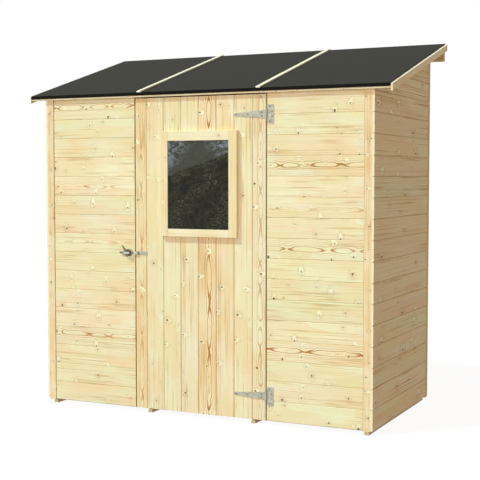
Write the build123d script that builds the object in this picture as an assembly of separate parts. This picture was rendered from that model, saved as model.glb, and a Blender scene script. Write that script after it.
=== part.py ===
from build123d import *
import math
import os

os.makedirs("parts", exist_ok=True)

# A small garden shed with a single-slope roof. Millimetres, X along the front
# from the left wall face, Y from the front face to the back, Z up from the ground.

# Whole building
width = 2000.0
depth = 1020.0
roof_pitch = 16.4
eave_height = 1791.0
eave_reach = 21.0
side_reach = 89.0
front_reach = 26.0

# Walls
cladding = 12.0
frame_depth = 28.0
post_size = 40.0
post_lap = 12.0
stud_width = 40.0
left_panel_gap = 6.0
right_panel_gap = 1.0

# Floor
joist_width = 25.0
joist_height = 18.0
board_clearance = 5.0
joist_count = 4
left_joist_inset = 53.5
right_joist_inset = 32.5
joist_back_gap = 25.0
floor_thickness = 16.0

# Doorway and door
door_left = 603.0
door_width = 799.5
door_gap = 6.0
leaf_thickness = 12.0
stop_clearance = 5.0
stop_lap = 12.0
ledge_width = 95.0
ledge_depth = 20.0
ledge_clearance = 7.0
brace_width = 70.0

# Window in the door
window_inset = 172.0
window_drop = 187.0
window_width = 466.0
window_height = 575.5
window_left_stile = 45.0
window_right_stile = 49.5
window_top_rail = 52.0
window_bottom_rail = 42.0
window_depth = 22.0
glass_setback = 4.0
glass_thickness = 4.0
glass_grip = 6.0
bead_depth = 10.0

# Roof
deck_thickness = 16.0
felt_thickness = 3.0
felt_fold = 18.0
batten_width = 25.0
batten_height = 7.0
felt_joint = 637.0
rake_width = 11.0
rake_height = 37.0
rake_drop = 5.0
eave_board_thickness = 18.0
eave_board_reveal = 8.5
purlin_height = 73.5

# Hinges
metal = 3.0
pin_radius = 2.5
knuckle_radius = 5.0
bore_clearance = 0.05
pin_out = 6.0
knuckle_height = 44.0
knuckle_gap = 0.5
strap_reach = 175.0
strap_tip = 15.0
hinge_plate_width = 35.0
hinge_plate_height = 101.0
lower_hinge_height = 155.0
upper_hinge_drop = 105.0

# Hasp
hasp_height = 897.0
hasp_pin = 618.0
hasp_plate_length = 54.0
hasp_band = 19.0
hasp_tip = 501.0
eye_centre = 555.5
eye_length = 57.0
eye_height = 43.0
eye_rim = 7.0
hasp_neck = 12.0
hasp_lift = 5.0
finger_length = 30.0
finger_width = 8.0
finger_angle = 126.0
knob_length = 35.0
knob_width = 12.0
knob_thickness = 6.0
stem_radius = 4.0
boss_radius = 8.0
boss_height = 8.0
staple_length = 46.0
staple_height = 30.0

# Derived
slope = math.tan(math.radians(roof_pitch))
tilt = math.cos(math.radians(roof_pitch))
deck_rise = deck_thickness / tilt
felt_rise = felt_thickness / tilt
batten_rise = batten_height / tilt
eave_board_bottom = eave_height - felt_fold - eave_board_reveal
door_right = door_left + door_width
board_bottom = joist_height + board_clearance
door_top = eave_board_bottom - door_gap
hinge_heights = [lower_hinge_height, door_top - upper_hinge_drop]
opening_left = door_left - door_gap
opening_right = door_right + door_gap
floor_top = joist_height + floor_thickness
inner = cladding + frame_depth
stop_front = leaf_thickness + stop_clearance
back_frame = depth - inner
joist_pitch = (width - left_joist_inset - right_joist_inset) / (joist_count - 1)
y_shift = -(depth - front_reach) / 2
x_shift = -width / 2


def under(y):
    """Height of the roof boards' underside at depth y."""
    return eave_height - felt_rise - deck_rise + slope * (y + eave_reach)


def block(x0, x1, y0, y1, z0, z1):
    """Box between two corners."""
    centre = ((x0 + x1) / 2, (y0 + y1) / 2, (z0 + z1) / 2)
    return Pos(*centre) * Box(x1 - x0, y1 - y0, z1 - z0)


def along_x(points, x0, x1):
    """Side-view outline of (y, z) points pulled from x0 to x1."""
    outline = Polyline(*[(x0, y, z) for y, z in points], close=True)
    return extrude(make_face(outline), x1 - x0, dir=(1, 0, 0))


def along_y(points, y0, y1):
    """Front-view outline of (x, z) points pulled from y0 to y1."""
    outline = Polyline(*[(x, y0, z) for x, z in points], close=True)
    return extrude(make_face(outline), y1 - y0, dir=(0, 1, 0))


def under_roof(x0, x1, y0, y1, z0):
    """Upright piece whose top is cut to the roof's slope."""
    points = [(y0, z0), (y1, z0), (y1, under(y1)), (y0, under(y0))]
    return along_x(points, x0, x1)


def on_slope(x0, x1, y0, y1, low, high):
    """Piece lying along the slope, between two heights over its underside."""
    points = [
        (y0, under(y0) + low),
        (y1, under(y1) + low),
        (y1, under(y1) + high),
        (y0, under(y0) + high),
    ]
    return along_x(points, x0, x1)


def peg(x, y, z0, z1, radius):
    """Upright round bar."""
    return Pos(x, y, (z0 + z1) / 2) * Cylinder(radius, z1 - z0)


def bolt(x, z, y0, y1, radius):
    """Round bar from front to back."""
    return Pos(x, (y0 + y1) / 2, z) * Rot(90, 0, 0) * Cylinder(radius, y1 - y0)


def mirrored(shape):
    """The same piece on the other side of the building."""
    return mirror(shape, about=Plane.YZ.offset(width / 2))


purlin_bottom = under(back_frame) - purlin_height
pieces = {}

# Floor
joists = []
for index in range(joist_count):
    middle = left_joist_inset + index * joist_pitch
    x0 = middle - joist_width / 2
    x1 = middle + joist_width / 2
    joists.append(block(x0, x1, 0, depth - joist_back_gap, 0, joist_height))
pieces["floor_joists"] = joists

floor_deck = block(
    cladding, width - cladding, stop_front, depth - cladding, joist_height, floor_top
)
post_right = cladding + post_size
lap_right = post_right + post_lap
for x0, x1 in [(0, lap_right), (width - lap_right, width)]:
    floor_deck -= block(x0, x1, 0, post_size, 0, floor_top + 1)
for x0, x1 in [(0, post_right), (width - post_right, width)]:
    floor_deck -= block(x0, x1, back_frame, depth, 0, floor_top + 1)
pieces["floor_deck"] = floor_deck

# Wall boards
panel_left = post_right + left_panel_gap
panel_right = width - post_right - right_panel_gap
pieces["front_wall_left"] = under_roof(
    panel_left, opening_left, 0, cladding, board_bottom
)
pieces["front_wall_right"] = under_roof(
    opening_right, panel_right, 0, cladding, board_bottom
)
pieces["front_wall_over_door"] = under_roof(
    opening_left, opening_right, 0, cladding, eave_board_bottom
)

side_wall = under_roof(0, cladding, 0, back_frame, board_bottom)
pieces["left_wall"] = side_wall
pieces["right_wall"] = mirrored(side_wall)
pieces["back_wall"] = under_roof(0, width, depth - cladding, depth, board_bottom)

# Wall frame
front_post = under_roof(cladding, post_right, 0, post_size, joist_height)
front_post += under_roof(post_right, lap_right, cladding, post_size, joist_height)
pieces["corner_post_front_left"] = front_post
pieces["corner_post_front_right"] = mirrored(front_post)
back_post = block(0, post_right, back_frame, depth - cladding, joist_height, purlin_bottom)
pieces["corner_post_back_left"] = back_post
pieces["corner_post_back_right"] = mirrored(back_post)

door_post = block(
    opening_left - stud_width, opening_left, cladding, inner, floor_top, eave_board_bottom
)
door_post += block(
    opening_left, opening_left + stop_lap, stop_front, inner, floor_top, eave_board_bottom
)
pieces["door_post_left"] = door_post
door_post = block(
    opening_right, opening_right + stud_width, cladding, inner, floor_top, eave_board_bottom
)
door_post += block(
    opening_right - stop_lap, opening_right, stop_front, inner, floor_top, eave_board_bottom
)
pieces["door_post_right"] = door_post
pieces["front_top_rail"] = under_roof(
    lap_right, width - lap_right, cladding, inner, eave_board_bottom
)

rail_top = floor_top + frame_depth
pieces["front_bottom_rails"] = [
    block(lap_right, opening_left - stud_width, stop_front, inner, floor_top, rail_top),
    block(
        opening_right + stud_width, width - lap_right, stop_front, inner, floor_top, rail_top
    ),
]

side_rail_top = -(frame_depth / tilt)
side_bottom_rail = block(cladding, inner, post_size, back_frame, floor_top, rail_top)
side_top_rail = on_slope(cladding, inner, post_size, back_frame, side_rail_top, 0)
side_middle = depth / 2
y0 = side_middle - stud_width / 2
y1 = side_middle + stud_width / 2
side_stud = along_x(
    [
        (y0, rail_top),
        (y1, rail_top),
        (y1, under(y1) + side_rail_top),
        (y0, under(y0) + side_rail_top),
    ],
    cladding,
    inner,
)
pieces["side_bottom_rails"] = [side_bottom_rail, mirrored(side_bottom_rail)]
pieces["side_top_rails"] = [side_top_rail, mirrored(side_top_rail)]
pieces["side_studs"] = [side_stud, mirrored(side_stud)]

pieces["back_bottom_rail"] = block(
    post_right, width - post_right, back_frame, depth - cladding, floor_top, rail_top
)
back_studs = []
for middle in (felt_joint, width - felt_joint):
    x0 = middle - stud_width / 2
    x1 = middle + stud_width / 2
    back_studs.append(
        block(x0, x1, back_frame, depth - cladding, rail_top, purlin_bottom)
    )
pieces["back_studs"] = back_studs
pieces["rear_purlin"] = under_roof(
    -side_reach, width + side_reach, back_frame, depth - cladding, purlin_bottom
)

# Roof
roof_left = -side_reach
roof_right = width + side_reach
deck_front = felt_thickness - eave_reach
pieces["roof_deck"] = on_slope(roof_left, roof_right, deck_front, depth, 0, deck_rise)
felt_top = deck_rise + felt_rise


def felt_strip(x0, x1):
    """Strip of roofing felt turned down over the eave edge."""
    points = [
        (deck_front, under(deck_front) + deck_rise),
        (depth, under(depth) + deck_rise),
        (depth, under(depth) + felt_top),
        (-eave_reach, eave_height),
        (-eave_reach, eave_height - felt_fold),
        (deck_front, eave_height - felt_fold),
    ]
    return along_x(points, x0, x1)


pieces["felt_left"] = felt_strip(roof_left, felt_joint)
pieces["felt_middle"] = felt_strip(felt_joint, width - felt_joint)
pieces["felt_right"] = felt_strip(width - felt_joint, roof_right)

batten = on_slope(
    felt_joint - batten_width / 2,
    felt_joint + batten_width / 2,
    -eave_reach,
    depth,
    felt_top,
    felt_top + batten_rise,
)
pieces["batten_left"] = batten
pieces["batten_right"] = mirrored(batten)

rake_top = felt_top - rake_drop
rake_board = on_slope(
    roof_left - rake_width, roof_left, -eave_reach, depth, rake_top - rake_height, rake_top
)
pieces["rake_board_left"] = rake_board
pieces["rake_board_right"] = mirrored(rake_board)
pieces["eave_board"] = under_roof(
    roof_left, roof_right, -eave_board_thickness, 0, eave_board_bottom
)

# Door leaf
window_left = door_left + window_inset
window_right = window_left + window_width
window_top = door_top - window_drop
window_bottom = window_top - window_height
pane_left = window_left + window_left_stile
pane_right = window_right - window_right_stile
pane_bottom = window_bottom + window_bottom_rail
pane_top = window_top - window_top_rail

door_boards = block(door_left, door_right, 0, leaf_thickness, board_bottom, door_top)
door_boards -= block(
    pane_left, pane_right, -1, leaf_thickness + 1, pane_bottom, pane_top
)
pieces["door_boards"] = door_boards

ledge_left = opening_left + stop_lap + ledge_clearance
ledge_right = opening_right - stop_lap - ledge_clearance
ledge_back = leaf_thickness + ledge_depth
ledges = []
for height in (hinge_heights[0], hasp_height, hinge_heights[1]):
    z0 = height - ledge_width / 2
    ledges.append(
        block(ledge_left, ledge_right, leaf_thickness, ledge_back, z0, z0 + ledge_width)
    )
pieces["door_ledges"] = ledges

brace_low = hinge_heights[0] + ledge_width / 2
brace_high = hasp_height - ledge_width / 2
brace_run = ledge_right - ledge_left
brace_length = math.hypot(brace_run, brace_high - brace_low)
brace_foot = brace_width * brace_length / (brace_high - brace_low)
pieces["door_brace"] = along_y(
    [
        (ledge_right - brace_foot, brace_low),
        (ledge_right, brace_low),
        (ledge_left + brace_foot, brace_high),
        (ledge_left, brace_high),
    ],
    leaf_thickness,
    ledge_back,
)

rebate_left = pane_left - glass_grip
rebate_right = pane_right + glass_grip
rebate_bottom = pane_bottom - glass_grip
rebate_top = pane_top + glass_grip
glass_front = glass_setback - window_depth
rebate = block(rebate_left, rebate_right, glass_front, 1, rebate_bottom, rebate_top)
window_frame = []
for x0, x1, z0, z1 in [
    (window_left, pane_left, window_bottom, window_top),
    (pane_right, window_right, window_bottom, window_top),
    (pane_left, pane_right, window_bottom, pane_bottom),
    (pane_left, pane_right, pane_top, window_top),
]:
    window_frame.append(block(x0, x1, -window_depth, 0, z0, z1) - rebate)
pieces["window_frame"] = window_frame
glass_back = glass_front + glass_thickness
pieces["window_glass"] = block(
    rebate_left, rebate_right, glass_front, glass_back, rebate_bottom, rebate_top
)
window_bead = block(
    rebate_left, rebate_right, glass_back, glass_back + bead_depth, rebate_bottom, rebate_top
)
window_bead -= block(
    pane_left, pane_right, glass_back - 1, 1, pane_bottom, pane_top
)
pieces["window_bead"] = window_bead

# Hinges on the right of the door
hinge_x = (door_right + opening_right) / 2
root_gap = knuckle_radius + 2.0


def hinge_strap(height):
    """Long tapered arm with a knuckle round the pin."""
    half = knuckle_height / 2
    x_root = hinge_x - root_gap
    x_tip = x_root - strap_reach
    outline = [
        (x_tip, height - strap_tip / 2),
        (x_root, height - half),
        (x_root, height + half),
        (x_tip, height + strap_tip / 2),
    ]
    strap = along_y(outline, -metal, 0)
    strap += bolt(x_tip, height, -metal, 0, strap_tip / 2)
    strap += block(x_root, hinge_x, -metal, 0, height - half, height + half)
    strap -= block(hinge_x - 2, hinge_x + 1, -metal, 1, height - half - 1, height + half + 1)
    strap += peg(hinge_x, -pin_out, height - half, height + half, knuckle_radius)
    bore = pin_radius + bore_clearance
    strap -= peg(hinge_x, -pin_out, height - half - 1, height + half + 1, bore)
    return strap


def hinge_plate(height):
    """Fixed plate with the pin and the outer two knuckles."""
    half = hinge_plate_height / 2
    inside = knuckle_height / 2 + knuckle_gap
    x0 = hinge_x + root_gap
    plate = block(x0, x0 + hinge_plate_width, -metal, 0, height - half, height + half)
    plate = fillet(plate.edges().filter_by(Axis.Y).group_by(Axis.X)[-1], 6)
    for z0, z1 in [(height - half + 16, height - inside), (height + inside, height + half - 16)]:
        plate += block(hinge_x + 2, x0, -metal, 0, z0, z1)
        plate += peg(hinge_x, -pin_out, z0, z1, knuckle_radius)
    plate += peg(hinge_x, -pin_out, height - half + 14, height + half - 14, pin_radius)
    return plate


for name, height in zip(("lower", "upper"), hinge_heights):
    pieces["hinge_strap_" + name] = hinge_strap(height)
    pieces["hinge_plate_" + name] = hinge_plate(height)

# Hasp over the left gap of the door
band_low = hasp_height - hasp_band / 2
band_high = hasp_height + hasp_band / 2
tongue_low = hasp_height - hasp_band / 6
tongue_high = hasp_height + hasp_band / 6
plate_left = hasp_pin + root_gap
plate_right = plate_left + hasp_plate_length
fixed_knuckles = [
    (band_low, tongue_low - knuckle_gap),
    (tongue_high + knuckle_gap, band_high),
]

hasp_plate = block(plate_left, plate_right, -metal, 0, band_low, band_high)
hasp_plate = fillet(hasp_plate.edges().filter_by(Axis.Y).group_by(Axis.X)[-1], 5)
for z0, z1 in fixed_knuckles:
    hasp_plate += block(hasp_pin, plate_left, -metal, 0, z0, z1)
    hasp_plate += peg(hasp_pin, -pin_out, z0, z1, knuckle_radius)
hasp_plate += peg(hasp_pin, -pin_out, band_low - 1.5, band_high + 1.5, pin_radius)
pieces["hasp_hinge_plate"] = hasp_plate

strap_back = -metal - hasp_lift
strap_front = strap_back - metal
strap_root = hasp_pin - root_gap
eye_right = eye_centre + eye_length / 2
eye_left = eye_centre - eye_length / 2
tip_centre = hasp_tip + hasp_neck / 2


def oval(length, height, y0, y1):
    """Oval disc facing the front, centred on the hasp's eye."""
    face = Ellipse(length / 2, height / 2)
    disc = Pos(eye_centre, y1, hasp_height) * Rot(90, 0, 0) * extrude(face, y1 - y0)
    return disc


hasp_strap = oval(eye_length, eye_height, strap_front, strap_back)
hasp_strap += along_y(
    [
        (eye_right - eye_rim, hasp_height - hasp_neck / 2),
        (strap_root, band_low),
        (strap_root, band_high),
        (eye_right - eye_rim, hasp_height + hasp_neck / 2),
    ],
    strap_front,
    strap_back,
)
hasp_strap += block(
    tip_centre,
    eye_left + eye_rim,
    strap_front,
    strap_back,
    hasp_height - hasp_neck / 2,
    hasp_height + hasp_neck / 2,
)
hasp_strap += bolt(tip_centre, hasp_height, strap_front, strap_back, hasp_neck / 2)
finger = block(
    0, finger_length, strap_front, strap_back, -finger_width / 2, finger_width / 2
)
finger_x = eye_centre - eye_length / 3
finger_z = hasp_height + eye_height / 3
hasp_strap += Pos(finger_x, 0, finger_z) * Rot(0, -finger_angle, 0) * finger
hasp_strap -= oval(
    eye_length - 2 * eye_rim, eye_height - 2 * eye_rim, strap_front - 1, strap_back + 1
)
hasp_strap += block(strap_root, hasp_pin, strap_front, strap_back, tongue_low, tongue_high)
hasp_strap += peg(hasp_pin, -pin_out, tongue_low, tongue_high, knuckle_radius)
hasp_strap -= peg(
    hasp_pin, -pin_out, tongue_low - 1, tongue_high + 1, pin_radius + bore_clearance
)
pieces["hasp_strap"] = hasp_strap

staple = oval(staple_length, staple_height, -metal, 0)
staple += bolt(eye_centre, hasp_height, -boss_height, 0, boss_radius)
staple -= bolt(eye_centre, hasp_height, -boss_height - 1, 1, stem_radius + bore_clearance)
pieces["hasp_staple"] = staple

knob_front = -front_reach
knob_back = knob_front + knob_thickness
grip = (knob_length - knob_width) / 2
knob = block(
    eye_centre - grip,
    eye_centre + grip,
    knob_front,
    knob_back,
    hasp_height - knob_width / 2,
    hasp_height + knob_width / 2,
)
for side in (-grip, grip):
    knob += bolt(eye_centre + side, hasp_height, knob_front, knob_back, knob_width / 2)
knob += bolt(eye_centre, hasp_height, knob_back, -bore_clearance, stem_radius)
pieces["hasp_knob"] = knob

for name, shape in pieces.items():
    solids = shape if isinstance(shape, list) else [shape]
    placed = [Pos(x_shift, y_shift, 0) * solid for solid in solids]
    body = placed[0] if len(placed) == 1 else Compound(children=placed)
    body.label = name
    export_step(body, "parts/" + name + ".step")
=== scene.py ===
# %% [markdown]
# # A small wooden garden shed
#
# Tongue-and-groove spruce boards on a light frame, a single-slope roof of felt
# laid in three strips, a plank door with one fixed window, two T-hinges and a hasp.
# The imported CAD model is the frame: every piece here is laid over its solids, in
# metres, and rides on its bodies. X runs along the front, Y to the back, Z is up.

# %% Load the frame
import math
import random

import bpy
from mathutils import Matrix, Vector


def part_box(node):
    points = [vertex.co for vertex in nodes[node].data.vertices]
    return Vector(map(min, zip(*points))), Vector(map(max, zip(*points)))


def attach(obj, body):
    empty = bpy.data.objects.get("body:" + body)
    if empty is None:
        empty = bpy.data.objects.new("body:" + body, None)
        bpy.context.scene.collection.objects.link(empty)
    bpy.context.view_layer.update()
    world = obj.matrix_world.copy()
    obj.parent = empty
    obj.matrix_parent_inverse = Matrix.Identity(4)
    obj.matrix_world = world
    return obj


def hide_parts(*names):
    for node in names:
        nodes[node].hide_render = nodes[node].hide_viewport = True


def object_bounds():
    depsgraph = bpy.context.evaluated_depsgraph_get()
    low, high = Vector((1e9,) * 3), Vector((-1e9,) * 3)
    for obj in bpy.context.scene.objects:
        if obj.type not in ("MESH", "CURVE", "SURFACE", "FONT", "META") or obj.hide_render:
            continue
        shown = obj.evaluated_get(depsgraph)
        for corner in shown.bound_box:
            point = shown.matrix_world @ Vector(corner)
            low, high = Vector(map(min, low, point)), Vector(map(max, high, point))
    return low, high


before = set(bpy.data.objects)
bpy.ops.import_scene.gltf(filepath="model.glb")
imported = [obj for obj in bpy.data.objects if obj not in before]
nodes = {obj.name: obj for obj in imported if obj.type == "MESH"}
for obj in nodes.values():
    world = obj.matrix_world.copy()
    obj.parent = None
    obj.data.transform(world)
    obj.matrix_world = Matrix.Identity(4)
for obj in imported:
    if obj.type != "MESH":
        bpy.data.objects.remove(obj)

cad_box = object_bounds()
bpy.ops.object.select_all(action="DESELECT")

# %% [markdown]
# ## Camera
# The roof edges and board joints of the photograph meet in vanishing points that a
# lens of 81 mm on a 36 mm sensor gives from 6.3 m away, half a metre below the eaves.

# %% Camera
camera_data = bpy.data.cameras.new("photo_camera")
camera_data.lens = 80.86
camera_data.sensor_width = 36.0
camera_data.clip_end = 100.0
camera = bpy.data.objects.new("photo_camera", camera_data)
camera.location = (2.7295, -5.7010, 1.3112)
camera.rotation_euler = (math.radians(86.7633), 0.0, math.radians(25.4714))
bpy.context.scene.collection.objects.link(camera)
bpy.context.scene.camera = camera

# %% [markdown]
# ## Light and floor
# Soft daylight: one light from the upper left of the front, a broad weak one from
# the front, which reaches under the eave, and a warm sky that fills the shaded side
# to less than half of the front's level. The high light is cooler by as much as the
# sky is warmer, so what both light is neutral. The paper floor gives back the sky's
# level. The camera, reflections and glass see both as plain white, as in a cut-out
# picture, and the floor keeps a very faint shadow of the shed.

# %% Helpers for colours and nodes
def colour(code, alpha=1.0):
    """sRGB hex colour as linear values."""
    parts = [int(code[i : i + 2], 16) / 255 for i in (1, 3, 5)]
    linear = [c / 12.92 if c <= 0.04045 else ((c + 0.055) / 1.055) ** 2.4 for c in parts]
    return (*linear, alpha)


def add(tree, kind, inputs=None, **settings):
    """Adds a node, with its settings, values and incoming links.

    The kind is named without ShaderNode. A node given as a value links its first output.
    """
    made = tree.nodes.new(kind if kind.startswith("NodeGroup") else "ShaderNode" + kind)
    for key, value in settings.items():
        setattr(made, key, value)
    for key, value in (inputs or {}).items():
        if isinstance(value, bpy.types.Node):
            value = value.outputs[0]
        if isinstance(value, bpy.types.NodeSocket):
            tree.links.new(value, made.inputs[key])
        else:
            made.inputs[key].default_value = value
    return made


def blank_material(name):
    """A material and its node tree, still empty."""
    material = bpy.data.materials.new(name)
    material.use_nodes = True
    material.node_tree.nodes.clear()
    return material, material.node_tree


def seen_rays(tree):
    """Gives 1 to the rays of the camera, of reflections and through glass, and 0 to all others."""
    rays = add(tree, "LightPath").outputs
    seen = add(tree, "Math", {0: rays["Is Camera Ray"], 1: rays["Is Glossy Ray"]}, operation="MAXIMUM")
    return add(tree, "Math", {0: seen, 1: rays["Is Transmission Ray"]}, operation="MAXIMUM")


# %% World and sun
FILL = (0.415, 0.350, 0.280)
world = bpy.data.worlds.new("studio")
bpy.context.scene.world = world
world.use_nodes = True
sky = world.node_tree
sky.nodes.clear()
sky_colour = add(sky, "Mix", {0: seen_rays(sky), 6: (*FILL, 1), 7: (1, 1, 1, 1)}, data_type="RGBA")
shine = add(sky, "Background", {"Color": sky_colour.outputs[2], "Strength": 1.0})
add(sky, "OutputWorld", {"Surface": shine})


def far_light(name, energy, angle, tint, toward):
    """A lamp so far away that its light is parallel but for its angle."""
    data = bpy.data.lights.new(name, "SUN")
    data.energy = energy
    data.angle = math.radians(angle)
    data.color = tint
    lamp = bpy.data.objects.new(name, data)
    lamp.rotation_euler = Vector(toward).to_track_quat("-Z", "Y").to_euler()
    bpy.context.scene.collection.objects.link(lamp)


far_light("high_light", 2.38, 4, (0.70, 1.0, 0.956), (0.95, 1.0, -1.66))
far_light("front_light", 1.07, 20, (1.0, 0.96, 0.93), (0.0, 1.0, -0.12))
bpy.context.scene.view_settings.view_transform = "Standard"

# %% Floor
bpy.ops.mesh.primitive_plane_add(size=60, location=(0, 0, 0))
floor = bpy.context.object
floor.name = "studio_floor"
paper, tree = blank_material("studio paper")
seen = seen_rays(tree)
fill_glow = add(tree, "Emission", {"Color": (*FILL, 1), "Strength": 1.0})
white_glow = add(tree, "Emission", {"Color": (1, 1, 1, 1), "Strength": 0.932})
shade_catch = add(tree, "BsdfDiffuse", {"Color": (0.083, 0.074, 0.082, 1)})
white_paper = add(tree, "AddShader", {0: white_glow, 1: shade_catch})
paper_skin = add(tree, "MixShader", {0: seen, 1: fill_glow, 2: white_paper})
add(tree, "OutputMaterial", {"Surface": paper_skin})
floor.data.materials.append(paper)

# %% [markdown]
# ## Spruce
# A board is a slice of a trunk: the growth rings lie round the pith, and where the
# saw runs nearly along them they draw a chain of pointed lenses. So the pattern is
# solid: a point's distance from a winding pith gives its ring, and almost a quarter
# of the boards have their pith close behind the face and show the lenses. The others
# show only a few long thin streaks of late wood, and rings round their larger knots.
# Rings are 3 mm apart in the real wood and 9 mm here, or they wouldn't show at this
# size. Small knots, up to 15 mm across the grain, push the rings aside and lie beside
# a paler spot. One group holds the pattern, and each material says which way its
# boards run.

# %% Spruce pattern as a group: one board's own dice and place
RING_M = 0.009
FIGURED_FROM = 0.77
spruce = bpy.data.node_groups.new("spruce rings", "ShaderNodeTree")
for name in ("Along", "Across", "Depth", "Board", "Figure", "Tint", "Age"):
    spruce.interface.new_socket(name=name, in_out="INPUT", socket_type="NodeSocketFloat")
spruce.interface.new_socket(name="Color", in_out="OUTPUT", socket_type="NodeSocketColor")
spruce.interface.new_socket(name="Height", in_out="OUTPUT", socket_type="NodeSocketFloat")
given = add(spruce, "NodeGroupInput").outputs
dice = add(spruce, "TexWhiteNoise", {"W": given["Board"]}, noise_dimensions="1D").outputs
throw = add(spruce, "SeparateColor", {0: dice["Color"]}).outputs
second = add(spruce, "Math", {0: given["Board"], 1: 0.37}, operation="ADD")
second = add(spruce, "TexWhiteNoise", {"W": second}, noise_dimensions="1D").outputs
other = add(spruce, "SeparateColor", {0: second["Color"]}).outputs
shift = add(spruce, "Math", {0: dice["Value"], 1: 37.0, 2: given["Along"]}, operation="MULTIPLY_ADD")
place = add(spruce, "CombineXYZ", {0: shift, 1: given["Across"], 2: given["Depth"]})
figured = add(spruce, "Math", {0: throw[2], 1: FIGURED_FROM}, operation="GREATER_THAN")

# %% Knots
KNOTS_ALONG = 8.0
KNOTS_ACROSS = 13.0
KNOT_SMALL_M = 0.0012
KNOT_LARGE_M = 0.0062
TAIL_M = 0.026
knot_place = add(spruce, "VectorMath", {0: place, 1: (KNOTS_ALONG, KNOTS_ACROSS, 1.0)},
                 operation="MULTIPLY")
knots = add(spruce, "TexVoronoi", {"Vector": knot_place, "Scale": 1.0, "Randomness": 1.0},
            voronoi_dimensions="2D")
knot_gap = add(spruce, "VectorMath", {0: knot_place, 1: knots.outputs["Position"]}, operation="SUBTRACT")
knot_gap = add(spruce, "VectorMath", {0: knot_gap, 1: (1.25 / KNOTS_ALONG, 0.85 / KNOTS_ACROSS, 0.0)},
               operation="MULTIPLY")
fray_place = add(spruce, "VectorMath", {0: place, 1: (70.0, 140.0, 1.0)}, operation="MULTIPLY")
fray = add(spruce, "TexNoise", {"Vector": fray_place, "Scale": 1.0, "Detail": 1.0})
fray = add(spruce, "VectorMath", {0: fray.outputs["Color"], 1: (0.5, 0.5, 0.5)}, operation="SUBTRACT")
knot_gap = add(spruce, "VectorMath", {0: fray, 1: (0.016, 0.012, 0.0), 2: knot_gap},
               operation="MULTIPLY_ADD")
knot_far = add(spruce, "VectorMath", {0: knot_gap}, operation="LENGTH").outputs["Value"]
knot_dice = add(spruce, "SeparateColor", {0: knots.outputs["Color"]}).outputs
knot_size = add(spruce, "MapRange", {"Value": knot_dice[0], "From Min": 0.35, "To Min": KNOT_SMALL_M,
                                     "To Max": KNOT_LARGE_M})
knot_height = add(spruce, "SeparateXYZ", {0: knots.outputs["Position"]}).outputs[1]
low_down = add(spruce, "MapRange", {"Value": knot_height, "From Min": KNOTS_ACROSS * 0.07,
                                    "From Max": KNOTS_ACROSS * 0.05, "To Min": 0.5})
knot_size = add(spruce, "Math", {0: knot_size, 1: low_down}, operation="MULTIPLY")
bulge = add(spruce, "Math", {0: knot_far, 1: -60.0}, operation="MULTIPLY")
bulge = add(spruce, "Math", {0: bulge}, operation="EXPONENT")
bulge = add(spruce, "Math", {0: bulge, 1: knot_size}, operation="MULTIPLY")

# %% Rings round a winding pith
PITH_M = 0.0109
WIND_M = 0.0039
LENS_M = 0.185
slow_place = add(spruce, "VectorMath", {0: place, 1: (1.6, 0.3, 0.3)}, operation="MULTIPLY")
slow = add(spruce, "TexNoise", {"Vector": slow_place, "Scale": 1.0, "Detail": 1.0})
slow = add(spruce, "SeparateColor", {0: slow.outputs["Color"]}).outputs
turn = add(spruce, "TexNoise", {"W": shift, "Scale": 4.0, "Detail": 0.0}, noise_dimensions="1D")
turn = add(spruce, "Math", {0: turn, 1: 4.5}, operation="MULTIPLY")
often = add(spruce, "MapRange", {"Value": other[0], "To Min": 2 * math.pi / LENS_M * 1.1,
                                 "To Max": 2 * math.pi / LENS_M * 0.6})
turn = add(spruce, "Math", {0: shift, 1: often, 2: turn}, operation="MULTIPLY_ADD")
wave = add(spruce, "Math", {0: turn}, operation="SINE")
crest = add(spruce, "MapRange", {"Value": wave, "From Min": -1.0, "To Max": 1.41421})
crest = add(spruce, "Math", {0: crest, 1: crest}, operation="MULTIPLY")
crest = add(spruce, "Math", {0: crest, 1: 1.0}, operation="SUBTRACT")
aside = add(spruce, "MapRange", {"Value": throw[1], "To Min": 0.035, "To Max": 0.075})
far_off = add(spruce, "MapRange", {"Value": throw[1], "To Min": -0.16, "To Max": -0.06})
pith = add(spruce, "Mix", {0: figured, 2: far_off, 3: aside})
pith = add(spruce, "Math", {0: slow[0], 1: 0.02, 2: pith}, operation="MULTIPLY_ADD")
side = add(spruce, "Math", {0: given["Across"], 1: pith}, operation="SUBTRACT")
deep = add(spruce, "Math", {0: slow[1], 1: 0.5}, operation="SUBTRACT")
deep = add(spruce, "Math", {0: deep, 1: 0.005, 2: given["Depth"]}, operation="MULTIPLY_ADD")
deep = add(spruce, "Math", {0: crest, 1: WIND_M, 2: deep}, operation="MULTIPLY_ADD")
deep = add(spruce, "Math", {0: deep, 1: PITH_M}, operation="ADD")
uneven_place = add(spruce, "VectorMath", {0: place, 1: (30.0, 22.0, 1.0)}, operation="MULTIPLY")
uneven = add(spruce, "TexNoise", {"Vector": uneven_place, "Scale": 1.0, "Detail": 1.0})
side = add(spruce, "Math", {0: uneven, 1: 0.014, 2: side}, operation="MULTIPLY_ADD")
deep = add(spruce, "Math", {0: uneven, 1: 0.0045, 2: deep}, operation="MULTIPLY_ADD")
radius = add(spruce, "CombineXYZ", {0: side, 1: deep})
radius = add(spruce, "VectorMath", {0: radius}, operation="LENGTH").outputs["Value"]
radius = add(spruce, "Math", {0: bulge, 1: 2.2, 2: radius}, operation="MULTIPLY_ADD")
ring = add(spruce, "Math", {0: radius, 1: RING_M}, operation="DIVIDE")
ring = add(spruce, "Math", {0: ring}, operation="FRACT")
late = add(spruce, "MapRange", {"Value": ring, "From Min": 0.45, "From Max": 0.9},
           interpolation_type="SMOOTHSTEP")
late_end = add(spruce, "MapRange", {"Value": ring, "From Min": 1.0, "From Max": 0.93},
               interpolation_type="SMOOTHSTEP")
late = add(spruce, "Math", {0: late, 1: late_end}, operation="MULTIPLY")

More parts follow.
